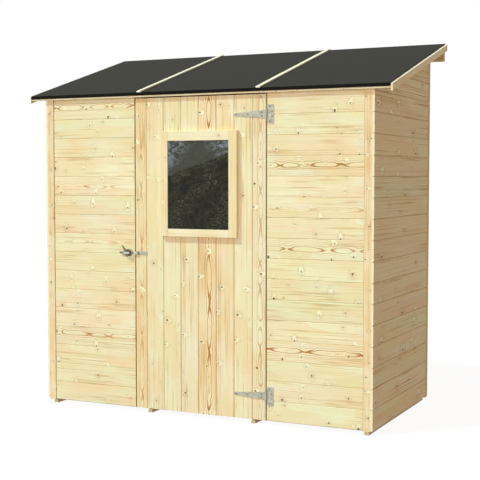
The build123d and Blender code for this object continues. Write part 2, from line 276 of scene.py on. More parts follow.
# %% Streaks and clouds
streak_place = add(spruce, "VectorMath", {0: place, 1: (0.5, 42.0, 42.0)}, operation="MULTIPLY")
streak = add(spruce, "TexNoise", {"Vector": streak_place, "Scale": 1.0, "Detail": 3.0, "Roughness": 0.5})
ridge = add(spruce, "Math", {0: streak, 1: 0.5}, operation="SUBTRACT")
ridge = add(spruce, "Math", {0: ridge}, operation="ABSOLUTE")
ridge = add(spruce, "MapRange", {"Value": ridge, "From Min": 0.028, "From Max": 0.0},
            interpolation_type="SMOOTHSTEP")
cloud_place = add(spruce, "VectorMath", {0: place, 1: (4.0, 11.0, 11.0)}, operation="MULTIPLY")
cloud = add(spruce, "TexNoise", {"Vector": cloud_place, "Scale": 1.0, "Detail": 2.0})
clouds = add(spruce, "SeparateColor", {0: cloud.outputs["Color"]}).outputs

patch_place = add(spruce, "VectorMath", {0: place, 1: (3.4, 17.0, 1.0)}, operation="MULTIPLY")
patch = add(spruce, "TexVoronoi", {"Vector": patch_place, "Scale": 1.0, "Randomness": 0.8},
            voronoi_dimensions="2D", distance="CHEBYCHEV")
patch = add(spruce, "SeparateColor", {0: patch.outputs["Color"]}).outputs

# %% Fine grain and the knots' tails
grain_place = add(spruce, "VectorMath", {0: place, 1: (2.6, 85.0, 85.0)}, operation="MULTIPLY")
grain = add(spruce, "TexNoise", {"Vector": grain_place, "Scale": 1.0, "Detail": 3.0})
grain_level = add(spruce, "MapRange", {"Value": grain, "From Min": 0.32, "From Max": 0.68, "To Min": 0.955,
                                       "To Max": 1.03})
grain_level = add(spruce, "Math", {0: grain_level, 1: given["Figure"]}, operation="POWER")
here = add(spruce, "Math", {0: knot_size, 1: 0.0015}, operation="GREATER_THAN")
knot_off = add(spruce, "VectorMath", {0: knot_gap}, operation="ABSOLUTE")
knot_off = add(spruce, "SeparateXYZ", {0: knot_off}).outputs
tail = add(spruce, "MapRange", {"Value": knot_off[0], "From Min": TAIL_M, "From Max": 0.003, "To Max": 0.3})
tail_width = add(spruce, "MapRange", {"Value": knot_off[1], "From Min": 0.0032, "From Max": 0.0008},
                 interpolation_type="SMOOTHSTEP")
tail = add(spruce, "Math", {0: tail, 1: tail_width}, operation="MULTIPLY")
tail = add(spruce, "Math", {0: tail, 1: here}, operation="MULTIPLY")

# %% Colours: early wood tinted board by board, then clouds, streaks, rings and knots
HALO_M = 0.014
HALO_FULL_M = 0.005
CURL_M = 0.0145
CURL_WIDTH_M = 0.0022
tone = add(spruce, "Mix", {0: throw[0], 6: colour("#fceed2"), 7: colour("#f4f0ca")},
           data_type="RGBA").outputs[2]
board_level = add(spruce, "MapRange", {"Value": other[0], "To Min": 0.95, "To Max": 1.02})
level = add(spruce, "Math", {0: board_level, 1: grain_level}, operation="MULTIPLY")
tone = add(spruce, "VectorMath", {0: tone, "Scale": level}, operation="SCALE")
warm = add(spruce, "MapRange", {"Value": clouds[0], "From Min": 0.42, "From Max": 0.66, "To Max": 0.6})
tone = add(spruce, "Mix", {0: warm, 6: tone, 7: colour("#f2dea2")}, data_type="RGBA").outputs[2]
rosy = add(spruce, "MapRange", {"Value": clouds[1], "From Min": 0.42, "From Max": 0.62, "To Max": 0.8})
rosy_share = add(spruce, "MapRange", {"Value": other[1], "To Min": 0.3})
rosy = add(spruce, "Math", {0: rosy, 1: rosy_share}, operation="MULTIPLY")
tone = add(spruce, "Mix", {0: rosy, 6: tone, 7: colour("#f9dcb6")}, data_type="RGBA").outputs[2]
rosy = add(spruce, "MapRange", {"Value": patch[0], "From Min": 0.6, "To Max": 0.45})
tone = add(spruce, "Mix", {0: rosy, 6: tone, 7: colour("#f6d8b0")}, data_type="RGBA").outputs[2]
faded = add(spruce, "MapRange", {"Value": patch[1], "From Min": 0.6, "To Max": 0.5})
tone = add(spruce, "Mix", {0: faded, 6: tone, 7: colour("#f6f5d4")}, data_type="RGBA").outputs[2]
orange = add(spruce, "MapRange", {"Value": other[2], "From Min": 0.5, "From Max": 0.8})
blotch = add(spruce, "MapRange", {"Value": clouds[0], "From Min": 0.4, "From Max": 0.62, "To Min": 0.35})
orange = add(spruce, "Math", {0: orange, 1: blotch}, operation="MULTIPLY")
orange = add(spruce, "Math", {0: orange, 1: given["Tint"]}, operation="MULTIPLY")
tone = add(spruce, "Mix", {0: orange, 6: tone, 7: colour("#f3d09c")}, data_type="RGBA").outputs[2]
thin = add(spruce, "MapRange", {"Value": clouds[2], "From Min": 0.44, "From Max": 0.64, "To Min": 0.08,
                                "To Max": 0.55})
thin = add(spruce, "Math", {0: thin, 1: ridge}, operation="MULTIPLY")
thin = add(spruce, "Math", {0: thin, 1: given["Figure"]}, operation="MULTIPLY")
tone = add(spruce, "Mix", {0: thin, 6: tone, 7: colour("#cba266")}, data_type="RGBA").outputs[2]
near_pith = add(spruce, "MapRange", {"Value": radius, "From Min": 0.029, "From Max": 0.018, "To Min": 0.3,
                                     "To Max": 1.0})
strength = add(spruce, "MapRange", {"Value": throw[2], "From Min": FIGURED_FROM, "From Max": 0.9,
                                    "To Min": 0.25})
tip = add(spruce, "MapRange", {"Value": wave, "From Min": -0.6, "From Max": 0.6, "To Min": 0.65},
          interpolation_type="SMOOTHSTEP")
near_pith = add(spruce, "Math", {0: near_pith, 1: strength}, operation="MULTIPLY")
near_pith = add(spruce, "Math", {0: near_pith, 1: tip}, operation="MULTIPLY")
round_knot = add(spruce, "MapRange", {"Value": bulge, "From Min": 0.0004, "From Max": 0.0022,
                                      "To Min": 0.12, "To Max": 0.6})
bold = add(spruce, "Mix", {0: figured, 2: round_knot, 3: near_pith})
fade = add(spruce, "MapRange", {"Value": clouds[1], "From Min": 0.3, "From Max": 0.55, "To Min": 0.6})
bold = add(spruce, "Math", {0: bold, 1: fade}, operation="MULTIPLY")
bold = add(spruce, "Math", {0: bold, 1: late}, operation="MULTIPLY")
bold = add(spruce, "Math", {0: bold, 1: given["Figure"]}, operation="MULTIPLY", use_clamp=True)
tone = add(spruce, "Mix", {0: bold, 6: tone, 7: colour("#bc8046")}, data_type="RGBA").outputs[2]
tone = add(spruce, "Mix", {0: tail, 6: tone, 7: colour("#a8814a")}, data_type="RGBA").outputs[2]
knot_edge = add(spruce, "Math", {0: knot_far, 1: knot_size}, operation="SUBTRACT")
halo_gap = add(spruce, "VectorMath", {0: fray, 1: (0.03, 0.05, 0.0), 2: knot_gap}, operation="MULTIPLY_ADD")
halo_gap = add(spruce, "VectorMath", {0: halo_gap, 1: (0.65, 0.65, 0.0), 2: (0.0, -0.004, 0.0)},
               operation="MULTIPLY_ADD")
halo_far = add(spruce, "VectorMath", {0: halo_gap}, operation="LENGTH").outputs["Value"]
halo_level = add(spruce, "MapRange", {"Value": knot_size, "From Min": 0.001, "From Max": 0.003})
halo_share = add(spruce, "MapRange", {"Value": knot_dice[2], "From Min": 0.2, "To Min": 0.15,
                                      "To Max": 1.0})
halo_level = add(spruce, "Math", {0: halo_level, 1: halo_share}, operation="MULTIPLY")
halo = add(spruce, "MapRange", {"Value": halo_far, "From Min": HALO_M, "From Max": HALO_FULL_M},
           interpolation_type="SMOOTHSTEP")
halo = add(spruce, "Math", {0: halo, 1: halo_level}, operation="MULTIPLY")
# This mix darkens toward brown; on the right side wall, which lies in shade, it is painted shade.
tone = add(spruce, "Mix", {0: given["Age"], 6: tone, 7: colour("#b98a45")}, data_type="RGBA").outputs[2]
curl = add(spruce, "Math", {0: halo_far, 1: CURL_M}, operation="SUBTRACT")
curl = add(spruce, "Math", {0: curl}, operation="ABSOLUTE")
curl = add(spruce, "MapRange", {"Value": curl, "From Min": CURL_WIDTH_M, "To Min": 0.0, "From Max": 0.0,
                                "To Max": 0.45})
curl = add(spruce, "Math", {0: curl, 1: halo_level}, operation="MULTIPLY")
tone = add(spruce, "Mix", {0: curl, 6: tone, 7: colour("#b08a4c")}, data_type="RGBA").outputs[2]
tone = add(spruce, "Mix", {0: halo, 6: tone, 7: colour("#fffbdc")}, data_type="RGBA").outputs[2]
core = add(spruce, "MapRange", {"Value": knot_edge, "From Min": 0.0014, "From Max": -0.0010,
                                "To Max": 0.97})
core = add(spruce, "Math", {0: core, 1: here}, operation="MULTIPLY")
knot_tone = add(spruce, "Mix", {0: knot_dice[1], 6: colour("#4a3408"), 7: colour("#a88440")},
                data_type="RGBA").outputs[2]
tone = add(spruce, "Mix", {0: core, 6: tone, 7: knot_tone}, data_type="RGBA").outputs[2]
relief = add(spruce, "Math", {0: streak, 1: 0.6, 2: late}, operation="MULTIPLY_ADD")
add(spruce, "NodeGroupOutput", {"Color": tone, "Height": relief})
print("spruce group nodes:", len(spruce.nodes))

# %% [markdown]
# Planed spruce is matt, and the late wood stands up a little, which a small bump
# gives. Walls, door and frame differ only in which way their boards run, how wide a
# board is and where their outer face lies, so one function writes those few nodes.
# Faces that look one given way can be painted paler, a painted highlight where the
# light falls full on tops and ends. Each seed numbers the first of its boards, and
# so picks which ones are figured.

# %% Materials of planed spruce
BOARD_M = 0.10855
DOOR_BOARD_M = 0.1084
AXES = {"X": 0, "Y": 1, "Z": 2}
cad_low, cad_high = Vector(cad_box[0]), Vector(cad_box[1])
wall_low, wall_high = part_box("right_wall")
front_low, front_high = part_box("front_wall_right")
slope = (wall_high.z - front_high.z) / (wall_high.y - front_high.y)
print("roof slope", round(math.degrees(math.atan(slope)), 2), "degrees")


def planed_spruce(name, along, across, behind, face, pitch, start, seed, figure=1.0, tint=0.25,
                  darkening=0.0, wash=None, wash_share=0.0, painted_highlight=None, painted_highlight_share=0.0, painted_highlight_way="-Y", rise=0.0,
                  stretch=1.0):
    """Spruce boards that run along one axis and lie side by side along another.

    behind is the axis that leads into the wood, as "+Y" or "-X", and face is where
    the outer face lies on it. painted_highlight tints, as a painted highlight, the
    faces that look along painted_highlight_way. rise is how much the boards climb along
    their run, and stretch how much longer the pattern is drawn along it.
    """
    material, tree = blank_material(name)
    place = add(tree, "TexCoord").outputs
    axis = add(tree, "SeparateXYZ", {0: place["Object"]}).outputs
    board = add(tree, "Math", {0: axis[AXES[along]], 1: -rise, 2: axis[AXES[across]]},
                operation="MULTIPLY_ADD")
    board = add(tree, "Math", {0: board, 1: start}, operation="SUBTRACT")
    board = add(tree, "Math", {0: board, 1: pitch}, operation="DIVIDE")
    part = add(tree, "Math", {0: board}, operation="FRACT")
    part = add(tree, "Math", {0: part, 1: pitch}, operation="MULTIPLY")
    board = add(tree, "Math", {0: board}, operation="FLOOR")
    board = add(tree, "Math", {0: board, 1: seed}, operation="ADD")
    sign = 1.0 if behind[0] == "+" else -1.0
    depth = add(tree, "Math", {0: axis[AXES[behind[1]]], 1: sign, 2: -sign * face},
                operation="MULTIPLY_ADD")
    run = add(tree, "Math", {0: axis[AXES[along]], 1: stretch}, operation="DIVIDE")
    wood = add(tree, "Group", {"Along": run, "Across": part, "Depth": depth, "Board": board,
                               "Figure": figure, "Tint": tint, "Age": darkening}, node_tree=spruce)
    finish = wood.outputs["Color"]
    if wash:
        finish = add(tree, "Mix", {0: wash_share, 6: finish, 7: colour(wash)}, data_type="RGBA").outputs[2]
    # Painted highlight: faces that look the given way are mixed toward a paler colour.
    if painted_highlight:
        looks = add(tree, "SeparateXYZ", {0: place["Normal"]}).outputs
        way = 1.0 if painted_highlight_way[0] == "+" else -1.0
        edge = add(tree, "MapRange", {"Value": looks[AXES[painted_highlight_way[1]]], "From Min": 0.5 * way,
                                      "From Max": 0.8 * way, "To Max": painted_highlight_share})
        finish = add(tree, "Mix", {0: edge, 6: finish, 7: colour(painted_highlight)}, data_type="RGBA").outputs[2]
    bump = add(tree, "Bump", {"Height": wood.outputs["Height"], "Strength": 0.35, "Distance": 0.0004})
    skin = add(tree, "BsdfPrincipled", {"Base Color": finish, "Normal": bump, "Roughness": 0.62,
                                        "Specular IOR Level": 0.15})
    add(tree, "OutputMaterial", {"Surface": skin})
    return material


sill = wall_low.z
front_face = front_low.y
FIRST_DOOR_JOINT_M = -0.3257
door_start = FIRST_DOOR_JOINT_M - DOOR_BOARD_M
front_left_wood = planed_spruce("planed spruce boards, front left", "X", "Z", "+Y", front_face, BOARD_M,
                                sill, 59686.0, 1.25)
front_right_wood = planed_spruce("planed spruce boards, front right", "X", "Z", "+Y", front_face, BOARD_M,
                                 sill, 272180.0, 1.25)
# The right side boards are darkened a little as painted shade; the front ends of both side walls get a
# painted highlight.
right_wood = planed_spruce("planed spruce boards, right side", "Y", "Z", "-X", wall_high.x, BOARD_M, sill,
                           48179.0, 2.0, 0.3, 0.05, painted_highlight="#fff3d2", painted_highlight_share=0.7, stretch=2.4)
left_wood = planed_spruce("planed spruce boards, left side", "Y", "Z", "+X", -wall_high.x, BOARD_M, sill,
                          25194.0, painted_highlight="#fff3d2", painted_highlight_share=0.7, stretch=2.4)
back_wood = planed_spruce("planed spruce boards, back", "X", "Z", "-Y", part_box("back_wall")[1].y, BOARD_M,
                          sill, 91153.0)
door_wood = planed_spruce("planed spruce boards, door", "Z", "X", "+Y", front_face, DOOR_BOARD_M,
                          door_start, 90687.0, 1.3, 0.75)
post_wood = planed_spruce("planed spruce posts", "Z", "X", "+Y", front_face, 0.195, 0.95, 25262.0, 1.3, 0.7,
                          0.02, stretch=0.6)
# Painted shade: the door posts seen through the door's gaps, and the back corner posts, are washed darker.
shade_post_wood = planed_spruce("spruce posts, darkened as painted shade", "Z", "X", "+Y", front_face, 0.2, 0.9, 25262.0,
                               wash="#a88b5a", wash_share=0.5)
rail_wood = planed_spruce("planed spruce rails", "X", "Z", "+Y", front_face, 0.35, 0.01, 231.0, 0.8,
                          wash="#d4bb93", wash_share=0.45)
side_rail_wood = planed_spruce("planed spruce side rails", "Y", "X", "-X", wall_high.x, 0.3, 0.07, 251.0,
                               0.8)
deck_wood = planed_spruce("planed roof boards", "X", "Y", "-Z", cad_high.z, 0.1, 0.0, 261.0, 0.8)
stile_wood = planed_spruce("planed spruce window stiles", "Z", "X", "+Y", front_face, 0.2, 0.05, 331.0, 1.2,
                           wash="#f2cf9c", wash_share=0.4)
window_rail_wood = planed_spruce("planed spruce window rails", "X", "Z", "+Y", front_face, 0.2, 0.1, 351.0,
                                 1.2, wash="#fff4da", wash_share=0.3)
eave_wood = planed_spruce("planed spruce eave board", "X", "Z", "+Y", front_face, 0.35, 0.01, 241.0, 0.6,
                          wash="#e6d6bc", wash_share=0.5)
# Painted highlight: the battens are washed nearly white all over, as their lit tops look.
highlit_batten_wood = planed_spruce("planed spruce battens, paled as painted highlight", "Y", "X", "-Z", cad_high.z, 0.3, 0.07, 271.0, 0.35,
                            wash="#fffbee", wash_share=0.7)
# Painted highlight: the right rake's top and the left rake's front end are painted nearly white.
right_rake_wood = planed_spruce("planed spruce rake board, right", "Y", "Z", "-X", cad_high.x, 0.5, 0.0,
                                281.0, painted_highlight="#fffbee", painted_highlight_share=0.85, painted_highlight_way="+Z", rise=slope)
left_rake_wood = planed_spruce("planed spruce rake board, left", "Y", "Z", "+X", cad_low.x, 0.5, 0.0, 283.0,
                               painted_highlight="#fffdf8", painted_highlight_share=0.9, rise=slope)
floor_wood = planed_spruce("sawn floor boards", "X", "Y", "-Z", 0.034, 0.09, 0.0, 291.0, wash="#b08a5c",
                           wash_share=0.45)
joist_wood = planed_spruce("sawn spruce joists", "Y", "X", "-Z", 0.018, 0.3, 0.07, 311.0, wash="#b39d6c",
                           wash_share=0.65)

# %% [markdown]
# ## Roofing felt
# Bitumen felt covered with fine slate grit: dark grey, matt, with a grain of about
# a millimetre, drawn at 4 mm so that it shows, and faint cloudy wear. Where it is
# folded down over the eave, at its rims and beside the battens it is painted nearly
# black as painted shade.

# %% Roofing felt
felt, tree = blank_material("bitumen felt with slate grit")
coordinates = add(tree, "TexCoord").outputs
place = coordinates["Object"]
grit = add(tree, "TexNoise", {"Vector": place, "Scale": 260.0, "Detail": 4.0, "Roughness": 0.7})
wear = add(tree, "TexNoise", {"Vector": place, "Scale": 3.0, "Detail": 3.0})
speck = add(tree, "MapRange", {"Value": grit, "From Min": 0.3, "From Max": 0.75, "To Max": 0.6})
cloudy = add(tree, "MapRange", {"Value": wear, "From Min": 0.3, "From Max": 0.7, "To Max": 0.25})
felt_tone = add(tree, "Mix", {0: speck, 6: colour("#2c2a25"), 7: colour("#38352e")}, data_type="RGBA")
felt_tone = add(tree, "Mix", {0: cloudy, 6: felt_tone.outputs[2], 7: colour("#322e2a")}, data_type="RGBA")
looks = add(tree, "SeparateXYZ", {0: coordinates["Normal"]}).outputs
# Painted shade: faces turned to the front, the rims and the strips beside the battens go nearly black.
painted_shade = add(tree, "MapRange", {"Value": looks[1], "From Min": -0.45, "From Max": -0.85})
axis = add(tree, "SeparateXYZ", {0: place}).outputs
felt_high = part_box("felt_right")[1]
from_side = add(tree, "Math", {0: axis[0]}, operation="ABSOLUTE")
side_rim_shade = add(tree, "MapRange", {"Value": from_side, "From Min": felt_high.x - 0.009,
                                  "From Max": felt_high.x - 0.003})
back_rim_shade = add(tree, "MapRange", {"Value": axis[1], "From Min": felt_high.y - 0.016,
                                  "From Max": felt_high.y - 0.008})
strip_low, strip_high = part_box("batten_right")
from_batten = add(tree, "Math", {0: from_side, 1: (strip_low.x + strip_high.x) / 2}, operation="SUBTRACT")
from_batten = add(tree, "Math", {0: from_batten}, operation="ABSOLUTE")
lap = (strip_high.x - strip_low.x) / 2
batten_side_shade = add(tree, "MapRange", {"Value": from_batten, "From Min": lap + 0.010, "From Max": lap + 0.005,
                                    "To Max": 0.85})
painted_rim_shade = add(tree, "Math", {0: side_rim_shade, 1: back_rim_shade}, operation="MAXIMUM")
painted_rim_shade = add(tree, "Math", {0: painted_rim_shade, 1: batten_side_shade}, operation="MAXIMUM")
painted_shade = add(tree, "Math", {0: painted_shade, 1: painted_rim_shade}, operation="MAXIMUM")
felt_tone = add(tree, "Mix", {0: painted_shade, 6: felt_tone.outputs[2], 7: colour("#0f0d09")}, data_type="RGBA")
grain = add(tree, "Bump", {"Height": grit, "Strength": 0.5, "Distance": 0.0008})
skin = add(tree, "BsdfPrincipled", {"Base Color": felt_tone.outputs[2], "Normal": grain, "Roughness": 0.9,
                                    "Specular IOR Level": 0.15})
add(tree, "OutputMaterial", {"Surface": skin})

# %% [markdown]
# ## Galvanised steel and glass
# Hot-dip zinc is a dull light grey with crystal patches some millimetres wide. The
# hasp is a darker zinc, lighter right of its ring, and its knob a paler one. Its
# staple is painted nearly black as painted shade inside the ring. The pane is plain
# float glass before a dark room. What it mirrors is a grey upper part with branches
# and an olive lower one, and both are drawn in the pane's own colour.

# %% Galvanised steel
def zinc_coat(name, dark, light, rough, metallic, lighter_from=None):
    """Dull metal with crystal patches between two tones, lighter right of a place if one is given."""
    material, tree = blank_material(name)
    place = add(tree, "TexCoord").outputs["Object"]
    crystal = add(tree, "TexVoronoi", {"Vector": place, "Scale": 150.0})
    level = add(tree, "SeparateColor", {0: crystal.outputs["Color"]})
    dull = add(tree, "TexNoise", {"Vector": place, "Scale": 45.0, "Detail": 4.0})
    tone = add(tree, "Mix", {0: level, 6: colour(dark), 7: colour(light)}, data_type="RGBA")
    stain = add(tree, "MapRange", {"Value": dull, "From Min": 0.45, "From Max": 0.7, "To Max": 0.3})
    tone = add(tree, "Mix", {0: stain, 6: tone.outputs[2], 7: colour("#8f8b74")}, data_type="RGBA")
    if lighter_from is not None:
        over = add(tree, "SeparateXYZ", {0: place})
        lighter_share = add(tree, "MapRange", {"Value": over, "From Min": lighter_from,
                                       "From Max": lighter_from + 0.006})
        tone = add(tree, "Mix", {0: lighter_share, 6: tone.outputs[2], 7: colour("#c3c0b2")}, data_type="RGBA")
    spread = add(tree, "MapRange", {"Value": dull, "From Min": 0.3, "From Max": 0.7, "To Min": rough - 0.08,
                                    "To Max": rough + 0.08})
    dent = add(tree, "Bump", {"Height": dull, "Strength": 0.25, "Distance": 0.0004})
    skin = add(tree, "BsdfPrincipled", {"Base Color": tone.outputs[2], "Metallic": metallic,
                                        "Roughness": spread, "Normal": dent})
    add(tree, "OutputMaterial", {"Surface": skin})
    return material


zinc = zinc_coat("galvanised steel", "#9f9c8c", "#c0bdb0", 0.55, 0.4)
ring_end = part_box("hasp_staple")[1].x + 0.012
dull_zinc = zinc_coat("galvanised steel, darker", "#6b6653", "#918c7c", 0.5, 0.5, ring_end)
bright_zinc = zinc_coat("galvanised steel, paler", "#c6c5ba", "#dddcd3", 0.5, 0.3)
# Painted shade: the staple is nearly black, for the shade inside the hasp's ring.
shade_dark_zinc = zinc_coat("galvanised steel, darkened as painted shade", "#38352a", "#545045", 0.6, 0.3)
screw_zinc = zinc_coat("zinc-plated screws", "#6a6653", "#7d7a69", 0.45, 0.6)

# %% Float glass
pane_low, pane_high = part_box("window_glass")
pane_width = pane_high.x - pane_low.x
pane_height = pane_high.z - pane_low.z
pane_glass, tree = blank_material("float glass")
place = add(tree, "TexCoord").outputs["Object"]
axis = add(tree, "SeparateXYZ", {0: place}).outputs
over = add(tree, "MapRange", {"Value": axis[0], "From Min": pane_low.x, "From Max": pane_high.x,
                              "To Min": 0.0, "To Max": 1.0}, clamp=False)
up = add(tree, "MapRange", {"Value": axis[2], "From Min": pane_low.z, "From Max": pane_high.z}, clamp=False)
bend = add(tree, "TexNoise", {"Vector": place, "Scale": 9.0, "Detail": 2.0})
edge = add(tree, "Math", {0: over, 1: -0.27, 2: up}, operation="MULTIPLY_ADD")
edge = add(tree, "Math", {0: bend, 1: 0.05, 2: edge}, operation="MULTIPLY_ADD")
upper = add(tree, "MapRange", {"Value": edge, "From Min": 0.605, "From Max": 0.63})
leaf_place = add(tree, "VectorMath", {0: place, 1: (30.0, 1.0, 52.0)}, operation="MULTIPLY")
leaf = add(tree, "TexNoise", {"Vector": leaf_place, "Scale": 1.0, "Detail": 5.0, "Roughness": 0.6,
                              "Distortion": 1.0})
crowd = add(tree, "TexNoise", {"Vector": place, "Scale": 11.0, "Detail": 2.0})
branch_place = add(tree, "VectorMath", {0: place, 1: (19.0, 1.0, 55.0)}, operation="MULTIPLY")
branch = add(tree, "TexNoise", {"Vector": branch_place, "Scale": 1.0, "Detail": 2.0, "Distortion": 2.0})
branch = add(tree, "Math", {0: branch, 1: 0.5}, operation="SUBTRACT")
branch = add(tree, "Math", {0: branch}, operation="ABSOLUTE")
branch = add(tree, "MapRange", {"Value": branch, "From Min": 0.03, "From Max": 0.0, "To Max": 0.9})
branch_share = add(tree, "MapRange", {"Value": crowd, "From Min": 0.42, "From Max": 0.62})
branch = add(tree, "Math", {0: branch, 1: branch_share}, operation="MULTIPLY")
low_tone = add(tree, "MapRange", {"Value": leaf, "From Min": 0.42, "From Max": 0.7})
low_tone = add(tree, "Mix", {0: low_tone, 6: colour("#131306"), 7: colour("#39381f")},
               data_type="RGBA").outputs[2]
low_tone = add(tree, "Mix", {0: branch, 6: low_tone, 7: colour("#73745e")}, data_type="RGBA").outputs[2]
side = add(tree, "Math", {0: over, 1: 0.5}, operation="SUBTRACT")
side = add(tree, "Math", {0: side}, operation="ABSOLUTE")
crown = add(tree, "Math", {0: up, 1: side}, operation="ADD")
crown = add(tree, "MapRange", {"Value": crown, "From Min": 1.0, "From Max": 1.3})
sky_bits = add(tree, "MapRange", {"Value": leaf, "From Min": 0.46, "From Max": 0.56})
crown = add(tree, "Math", {0: crown, 1: sky_bits}, operation="MULTIPLY")
high_tone = add(tree, "Mix", {0: leaf, 6: colour("#39392f"), 7: colour("#5c5c52")},
                data_type="RGBA").outputs[2]
high_tone = add(tree, "Mix", {0: crown, 6: high_tone, 7: colour("#8d95a3")}, data_type="RGBA").outputs[2]
pane_tone = add(tree, "Mix", {0: upper, 6: low_tone, 7: high_tone}, data_type="RGBA").outputs[2]
skin = add(tree, "BsdfPrincipled", {"Base Color": pane_tone, "Roughness": 0.05, "Specular IOR Level": 0.16,
                                    "Transmission Weight": 0.25})
add(tree, "OutputMaterial", {"Surface": skin})


def paint(obj, material):
    """Puts one material over the whole piece."""
    obj.data.materials.clear()
    obj.data.materials.append(material)


# %% [markdown]
# ## Wall boards
# Each wall is a stack of tongue-and-groove boards, 108.5 mm from joint to joint.
# One board is a cube with its outer long edges planed off, which makes the V of the
# joint, and a tongue drawn up from its top edge, which closes it. The board is
# copied up the wall, and the top ones are cut along the roof's slope. The joints of
# the side walls and of the door are a little wider and deeper.

# %% Tools for boards
JOINT_M = 0.0010
CHAMFER_M = 0.0023
TONGUE_EDGE_M = 0.0035
DOOR_JOINT_M = 0.0018
DOOR_CHAMFER_M = 0.0034


def only(obj):
    """Selects and activates one object alone."""
    bpy.ops.object.select_all(action="DESELECT")
    obj.select_set(True)
    bpy.context.view_layer.objects.active = obj


def block(name, low, high):
    """A cube between two corners, its place in its mesh."""
    low, high = Vector(low), Vector(high)
    bpy.ops.object.select_all(action="DESELECT")
    bpy.ops.mesh.primitive_cube_add(size=1, location=(low + high) / 2)
    made = bpy.context.object
    made.name = name
    made.scale = high - low
    bpy.ops.object.transform_apply(location=True, rotation=True, scale=True)
    return made


def pick_edges(obj, test):
    """In edit mode, selects the edges whose middle and direction pass the test."""
    bpy.ops.object.mode_set(mode="EDIT")
    bpy.ops.mesh.select_all(action="DESELECT")
    bpy.ops.mesh.select_mode(type="EDGE")
    bpy.ops.object.mode_set(mode="OBJECT")
    points = obj.data.vertices
    for edge in obj.data.edges:
        a, b = points[edge.vertices[0]].co, points[edge.vertices[1]].co
        edge.select = test((a + b) / 2, (b - a).normalized())
    bpy.ops.object.mode_set(mode="EDIT")


def pick_faces(obj, test):
    """In edit mode, selects the faces whose centre and normal pass the test."""
    bpy.ops.object.mode_set(mode="EDIT")
    bpy.ops.mesh.select_all(action="DESELECT")
    bpy.ops.mesh.select_mode(type="FACE")
    bpy.ops.object.mode_set(mode="OBJECT")
    for face in obj.data.polygons:
        face.select = test(face.center, face.normal)
    bpy.ops.object.mode_set(mode="EDIT")


def board(name, low, high, side, stack, joint=JOINT_M, chamfer=CHAMFER_M):
    """One board: low and high corners, outer side as (axis, sign), stacking axis."""
    made = block(name, low, high)
    face_axis, sign = side
    outer = (high if sign > 0 else low)[face_axis]
    run = 3 - face_axis - stack
    pick_edges(
        made,
        lambda middle, way: abs(middle[face_axis] - outer) < 1e-6 and abs(way[run]) > 0.9,
    )
    bpy.ops.mesh.bevel(offset=chamfer, segments=1, affect="EDGES")
    pick_faces(made, lambda centre, normal: normal[stack] > 0.9)
    bpy.ops.mesh.inset(thickness=TONGUE_EDGE_M)
    move = [0.0, 0.0, 0.0]
    move[stack] = joint
    bpy.ops.mesh.extrude_region_move(TRANSFORM_OT_translate={"value": move})
    bpy.ops.object.mode_set(mode="OBJECT")
    return made


def repeat(first, offsets):
    """Copies of one piece at the given offsets, the first among them."""
    made = [first]
    for offset in offsets:
        twin = first.copy()
        twin.data = first.data.copy()
        bpy.context.scene.collection.objects.link(twin)
        twin.data.transform(Matrix.Translation(offset))
        made.append(twin)
    return made


def unite(objects, name):
    """Joins several objects into one named piece."""
    bpy.ops.object.select_all(action="DESELECT")
    for obj in objects:
        obj.select_set(True)
    bpy.context.view_layer.objects.active = objects[0]
    bpy.ops.object.join()
    made = bpy.context.object
    made.name = name
    made.data.name = name
    return made


def cut_off(obj, point, normal):
    """Cuts the piece along a plane, closes it, and drops what lies past it."""
    only(obj)
    bpy.ops.object.mode_set(mode="EDIT")
    bpy.ops.mesh.select_all(action="SELECT")
    bpy.ops.mesh.bisect(plane_co=point, plane_no=normal, use_fill=True, clear_outer=True)
    bpy.ops.object.mode_set(mode="OBJECT")


def subtract(obj, cutter):
    """Cuts one object's shape out of the piece and removes that object."""
    only(obj)
    cut = obj.modifiers.new("cut", "BOOLEAN")
    cut.operation = "DIFFERENCE"
    cut.solver = "EXACT"
    cut.object = cutter
    bpy.ops.object.modifier_apply(modifier=cut.name)
    bpy.data.objects.remove(cutter)


def cut_hole(obj, low, high):
    """Cuts a box-shaped hole through the piece."""
    subtract(obj, block("cutter", low, high))


def finished(obj, material, body, slot, *replaced):
    """Dresses a piece, hides the CAD nodes it replaces and seats it on its body."""
    paint(obj, material)
    if replaced:
        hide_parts(*replaced)
    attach(obj, body)
    print(obj.name, "faces", len(obj.data.polygons))
    return obj


# %% Board walls
slope_normal = Vector((0, -slope, 1)).normalized()
wall_top = Vector((0, wall_high.y, wall_high.z))


def board_wall(name, node, side, material, joint=JOINT_M, chamfer=CHAMFER_M):
    """Stack of boards that fills a wall's box and stops under the roof."""
    low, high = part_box(node)
    first = board(name, low, (high.x, high.y, low.z + BOARD_M - joint), side, 2, joint, chamfer)
    count = math.ceil((high.z - low.z) / BOARD_M)
    stack = repeat(first, [(0, 0, BOARD_M * i) for i in range(1, count)])
    for piece in stack:
        if max(corner.co.z for corner in piece.data.vertices) > wall_top.z + slope * (low.y - wall_top.y):
            cut_off(piece, wall_top, slope_normal)
    stack = [piece for piece in stack if len(piece.data.vertices)]
    made = unite(stack, name)
    return finished(made, material, "shed", "softwood", node)


board_wall("front_boards_left", "front_wall_left", (1, -1), front_left_wood)
board_wall("front_boards_right", "front_wall_right", (1, -1), front_right_wood)
board_wall("left_side_boards", "left_wall", (0, -1), left_wood, DOOR_JOINT_M, DOOR_CHAMFER_M)
board_wall("right_side_boards", "right_wall", (0, 1), right_wood, DOOR_JOINT_M, DOOR_CHAMFER_M)
board_wall("back_boards", "back_wall", (1, 1), back_wood)

# %% [markdown]
# ## Door boards
# The door's boards stand upright, with the wider joint. The outer two are narrower,
# because the door's width isn't a whole number of boards, and the window is cut
# through the ones in the middle.

